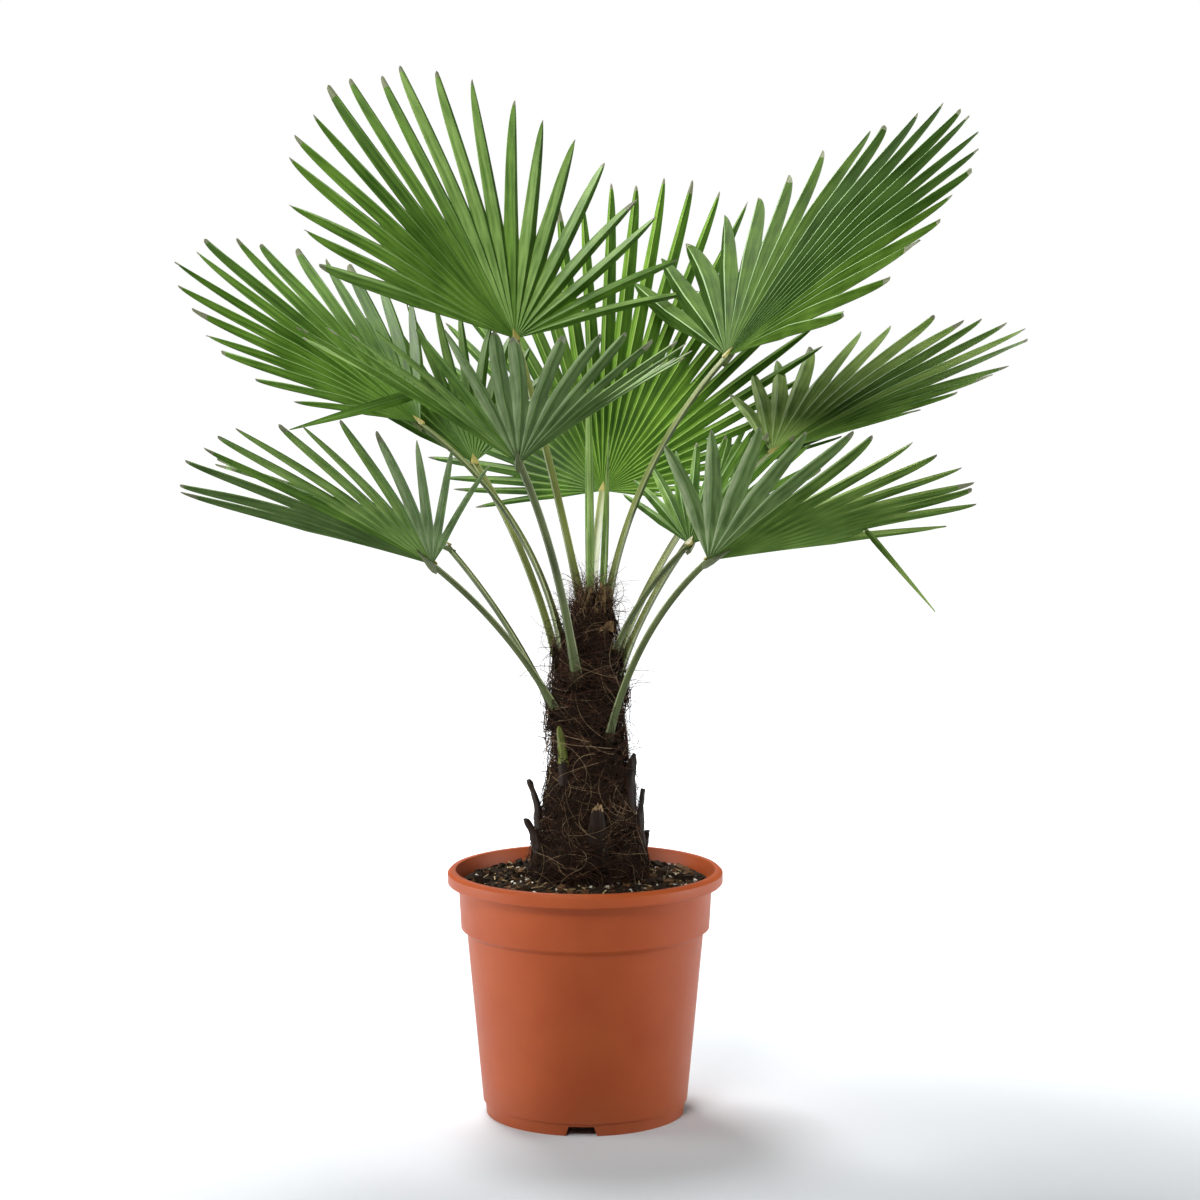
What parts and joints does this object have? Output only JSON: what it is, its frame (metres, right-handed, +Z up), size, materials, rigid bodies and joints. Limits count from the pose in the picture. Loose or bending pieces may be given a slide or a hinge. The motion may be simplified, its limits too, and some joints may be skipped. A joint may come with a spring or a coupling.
{
  "type": "potted windmill palm",
  "caption": "Young fan palm with a fibrous tapering trunk, arching stalks and pleated round fronds, in a round moulded nursery pot.",
  "frame": {"origin": "on the pot's axis, at the flat underside of its floor, which stands on the ground", "axes": "+Z up, -Y to the viewer of the picture, +X to the viewer's right"},
  "size_m": [0.8647, 0.8729, 1.0798],
  "materials": {
    "pot_plastic": "moulded polypropylene, satin, terracotta orange",
    "compost": "dark potting compost with bark chips",
    "trunk_fibre": "matted dark brown leaf-sheath fibre",
    "stub_bark": "dry old leaf bases, dark brown to black",
    "stalk_green": "smooth living stalk, half gloss",
    "blade_green": "leathery leaf, dark green above and grey-green beneath",
    "blade_young": "young leaf, bright yellow-green",
    "spear_green": "unopened leaf, pale green"
  },
  "bodies": {
    "root": {"pot": "pot_plastic", "soil": "compost", "trunk": "trunk_fibre", "stub_left_high": "stub_bark", "stub_left_low": "stub_bark", "stub_right_high": "stub_bark", "stub_right_mid": "stub_bark", "stub_right_low": "stub_bark", "stub_front": "stub_bark", "stub_front_green": "stub_bark", "stub_back_left": "stub_bark", "stub_back_right": "stub_bark", "stub_back_low": "stub_bark", "spear_tall": "spear_green", "spear_short": "spear_green", "stalk_top_left": "stalk_green", "stalk_top_right": "stalk_green", "stalk_left_upper": "stalk_green", "stalk_front_left": "stalk_green", "stalk_left_lower": "stalk_green", "stalk_right_upper": "stalk_green", "stalk_front_right": "stalk_green", "stalk_centre_rear": "stalk_green", "stalk_left_rear": "stalk_green", "stalk_right_lower": "stalk_green", "stalk_rear_left": "stalk_green", "stalk_rear_right": "stalk_green", "blade_top_left": "blade_green", "blade_top_right": "blade_green", "blade_left_upper": "blade_green", "blade_front_left": "blade_green", "bent_leaflet_front_left": "blade_green", "blade_left_lower": "blade_green", "blade_right_upper": "blade_green", "blade_front_right": "blade_green", "bent_leaflet_front_right": "blade_green", "blade_centre_rear": "blade_young", "blade_left_rear": "blade_green", "blade_right_lower": "blade_green", "blade_rear_left": "blade_green", "blade_rear_right": "blade_green"}
  },
  "joints": []
}
